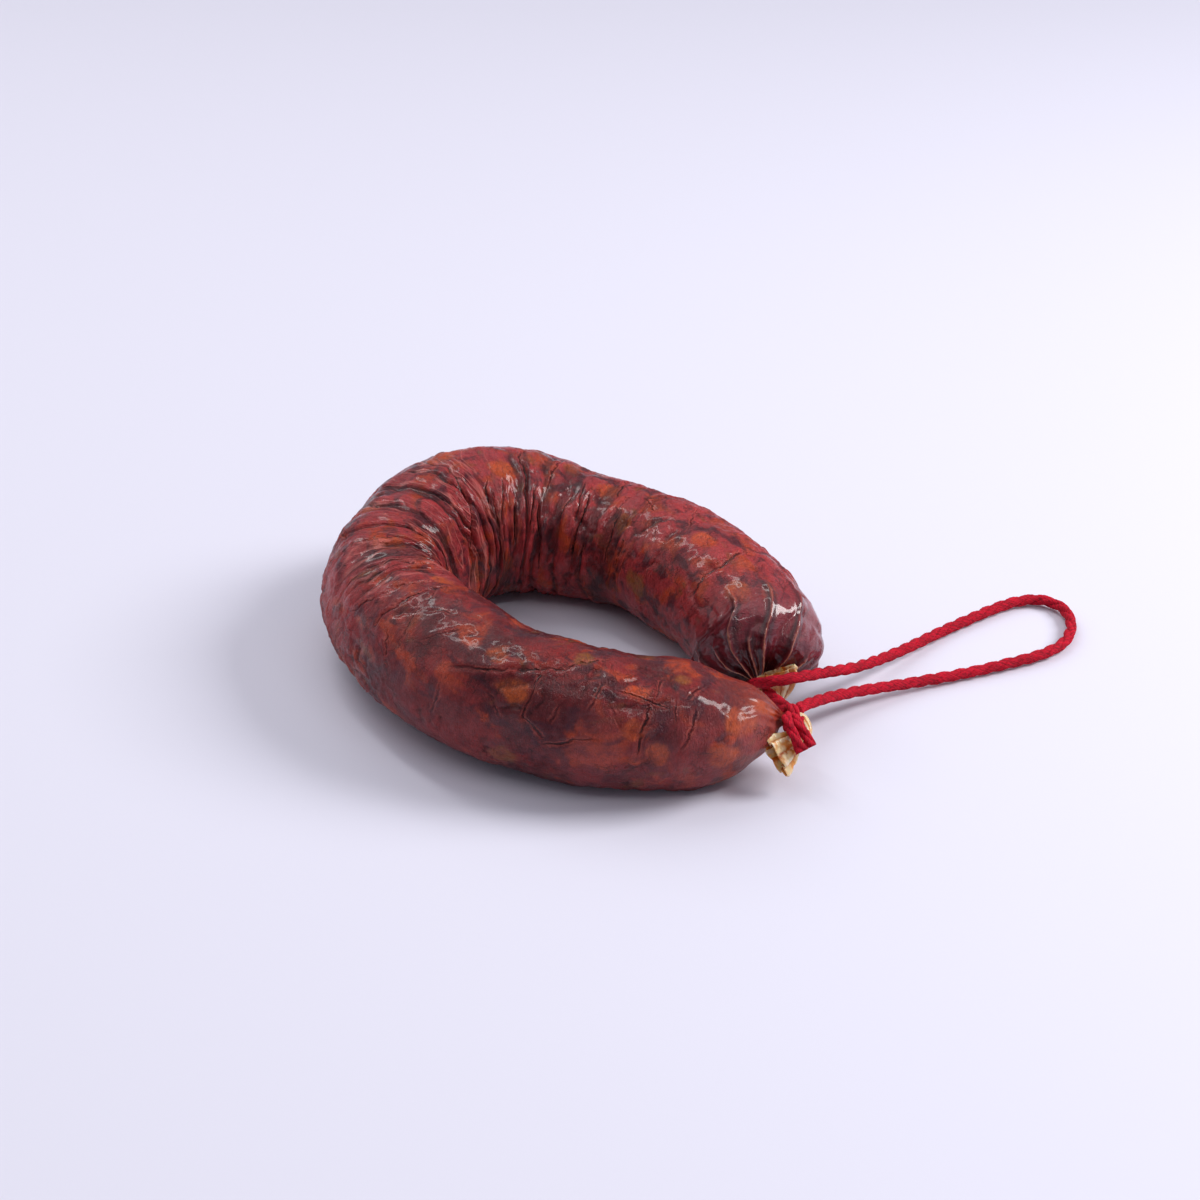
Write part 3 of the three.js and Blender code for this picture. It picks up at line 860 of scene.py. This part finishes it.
def makeTail(name, neckEnd, inside, spec):
    out = (Vector(neckEnd) - Vector(inside)).normalized()
    start = [Vector(neckEnd) + out * d for d in (0.1, 1.0, 3.1)]
    rings = tails["rings"]
    line, length = evenLine(start + list(spec["points"]), rings)
    facing = Vector(spec["facing"])
    bpy.ops.mesh.primitive_circle_add(vertices=tails["around"], radius=mm, fill_type="NOTHING",
                                      location=(0, 0, 0), rotation=acrossX)
    tail = bpy.context.object
    tail.name = name
    bpy.ops.object.transform_apply(location=True, rotation=True)
    bpy.ops.object.mode_set(mode="EDIT")
    bpy.ops.mesh.select_all(action="SELECT")
    for k in range(rings):
        bpy.ops.mesh.extrude_region_move(TRANSFORM_OT_translate={"value": (length / rings * mm, 0, 0)})
    bpy.ops.mesh.select_all(action="SELECT")
    bpy.ops.mesh.normals_make_consistent(inside=False)
    bpy.ops.object.mode_set(mode="OBJECT")
    bpy.ops.object.shade_smooth()
    nodeModifier(tail, tailTree)
    bpy.context.view_layer.objects.active = tail
    bpy.ops.object.modifier_apply(modifier=tail.modifiers[0].name)
    pleat = [d.value for d in tail.data.attributes["fold"].data]
    for v in tail.data.vertices:
        share = min(max(v.co.x / mm / length, 0), 1)
        k = min(int(share * rings), rings - 1)
        t = share * rings - k
        along = (line[k + 1] - line[k]).normalized()
        if 0 < k < rings - 1:
            along = ((line[k + 1] - line[k]) * (1 - t) + (line[k + 2] - line[k + 1]) * t).normalized()
        side = along.cross(facing).normalized()
        above = side.cross(along)
        opened = min(max((share - tails["opensFrom"]) / (1 - tails["opensFrom"]), 0), 1)
        opened = opened * opened * (3 - 2 * opened)
        wide = tails["root"] + (spec["halfWidth"] - tails["root"]) * opened
        thick = tails["root"] + (spec["halfThickness"] - tails["root"]) * opened
        bulge = 1 + pleat[v.index] * (0.25 + 0.75 * opened)
        angle = math.atan2(v.co.z, v.co.y)
        spot = line[k].lerp(line[k + 1], t)
        spot = spot + side * (math.cos(angle) * wide * bulge) + above * (math.sin(angle) * thick * bulge)
        v.co = Vector((spot.x, spot.y, max(spot.z, 0.1))) * mm
    skin = tail.modifiers.new("skin", "SOLIDIFY")
    skin.thickness = tails["skin"] * mm
    skin.offset = -1
    soft = tail.modifiers.new("soft", "SUBSURF")
    soft.levels = soft.render_levels = 1
    applyAll(tail)
    tail.data.materials.append(film)
    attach(tail, "root")
    return tail


# flutes run along the tail and waver, and the skin between them is crumpled
tailTree, source, sink = geometryTree("tailPleats")
place = nodeOf(tailTree, "GeometryNodeInputPosition").outputs[0]
spot = vecCalc(tailTree, "SCALE", place, scale=1 / mm)
apart = nodeOf(tailTree, "ShaderNodeSeparateXYZ")
feed(tailTree, apart.inputs[0], spot)
turn = calc(tailTree, "ARCTAN2", apart.outputs[2], apart.outputs[1])
waver = noise(tailTree, stretched(tailTree, spot, 0.12, 0.8, 0.8), 1.0, 2)
phase = plus(tailTree, times(tailTree, turn, tails["flutes"]), times(tailTree, waver, 7.0))
flute = times(tailTree, calc(tailTree, "COSINE", phase), 0.24)
crumple = minus(tailTree, noise(tailTree, stretched(tailTree, spot, 0.5, 2.6, 2.6), 1.0, 4, 0.65), 0.5)
kept = keep(tailTree, source.outputs[0], "straight", place, "FLOAT_VECTOR")
kept = keep(tailTree, kept, "fold", plus(tailTree, flute, times(tailTree, crumple, 0.85)))
feed(tailTree, sink.inputs[0], kept)

film, tree, shader = newMaterial("dryCasing")
fold = attribute(tree, "fold")
spot = vecCalc(tree, "SCALE", attribute(tree, "straight", "Vector"), scale=1 / mm)
tone = noise(tree, stretched(tree, spot, 0.35, 1.2, 1.2), 1.0, 3, 0.6)
base = blendColours(tree, spread(tree, tone, 0.38, 0.62), colour(*tails["amber"]), colour(*tails["cream"]))
# painted shade in the fold valleys
base = blendColours(tree, spread(tree, fold, 0.0, -0.24), base, colour(*tails["valley"]))
# painted highlight on the fold crests
base = blendColours(tree, spread(tree, fold, 0.14, 0.34, 0, 0.7), base, colour(*tails["crest"]))
feed(tree, shader.inputs["Base Color"], base)
shader.inputs["Roughness"].default_value = 0.18
shader.inputs["Transmission Weight"].default_value = 0.12
shader.inputs["IOR"].default_value = 1.4
shader.inputs["Subsurface Weight"].default_value = 0.25
shader.inputs["Subsurface Radius"].default_value = (0.003, 0.0014, 0.0005)
shader.inputs["Subsurface Scale"].default_value = 1.0
crinkle = nodeOf(tree, "ShaderNodeBump")
crinkle.inputs["Strength"].default_value = 0.8
crinkle.inputs["Distance"].default_value = 0.0004
feed(tree, crinkle.inputs["Height"], noise(tree, stretched(tree, spot, 1.0, 2.5, 2.5), 1.0, 3, 0.6))
feed(tree, shader.inputs["Normal"], crinkle.outputs[0])

print("casing ends")
frontTail = makeTail("frontCasingEnd", sausage["spine"][0], sausage["spine"][1], tails["front"])
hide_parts("casing_tail_front")
rearTail = makeTail("rearCasingEnd", sausage["spine"][-1], sausage["spine"][-2], tails["rear"])
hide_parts("casing_tail_rear")

# a pale table, soft lights and the camera
bpy.ops.mesh.primitive_plane_add(size=6, location=(0, 0, -0.0003))
floor = bpy.context.object
floor.name = "floor"
paper, tree, shader = newMaterial("paleFloor")
shader.inputs["Base Color"].default_value = colour(216, 214, 228)
shader.inputs["Roughness"].default_value = 0.6
floor.data.materials.append(paper)

sky = bpy.data.worlds.new("softRoom")
bpy.context.scene.world = sky
sky.use_nodes = True
sky.node_tree.nodes["Background"].inputs[0].default_value = (0.86, 0.87, 1.0, 1)
sky.node_tree.nodes["Background"].inputs[1].default_value = 0.30


def softbox(name, place, size, power):
    bpy.ops.object.light_add(type="AREA", location=place)
    lamp = bpy.context.object
    lamp.name = name
    lamp.data.shape = "RECTANGLE"
    lamp.data.size, lamp.data.size_y = size
    lamp.data.energy = power
    lamp.rotation_euler = (-Vector(place)).to_track_quat("-Z", "Y").to_euler()


softbox("keyLight", (0.92, 0.16, 0.72), (0.45, 0.55), 12.5)
softbox("topLight", (-0.6, 0.3, 1.1), (2.2, 2.2), 9)
softbox("glintLight", (-0.4, 0.42, 0.8), (0.1, 0.9), 2.2)
softbox("frontGlint", (0.25, -0.55, 0.95), (0.9, 0.05), 1.4)

view = {"lens": 80, "elevation": 29.97, "roll": 2.114, "distance": 0.7508, "target": (0.00763, 0.03793, 0)}
bpy.ops.object.camera_add()
camera = bpy.context.object
camera.name = "camera"
camera.data.lens = view["lens"]
camera.data.sensor_width = 36
camera.data.clip_start = 0.01
e = math.radians(view["elevation"])
back = Vector((0, -math.cos(e), math.sin(e)))
camera.location = Vector(view["target"]) + back * view["distance"]
rolled = Matrix.Rotation(math.radians(view["roll"]), 3, "Z")
camera.rotation_euler = (back.to_track_quat("Z", "Y").to_matrix() @ rolled).to_euler()
bpy.context.scene.camera = camera
bpy.context.scene.view_settings.view_transform = "Standard"
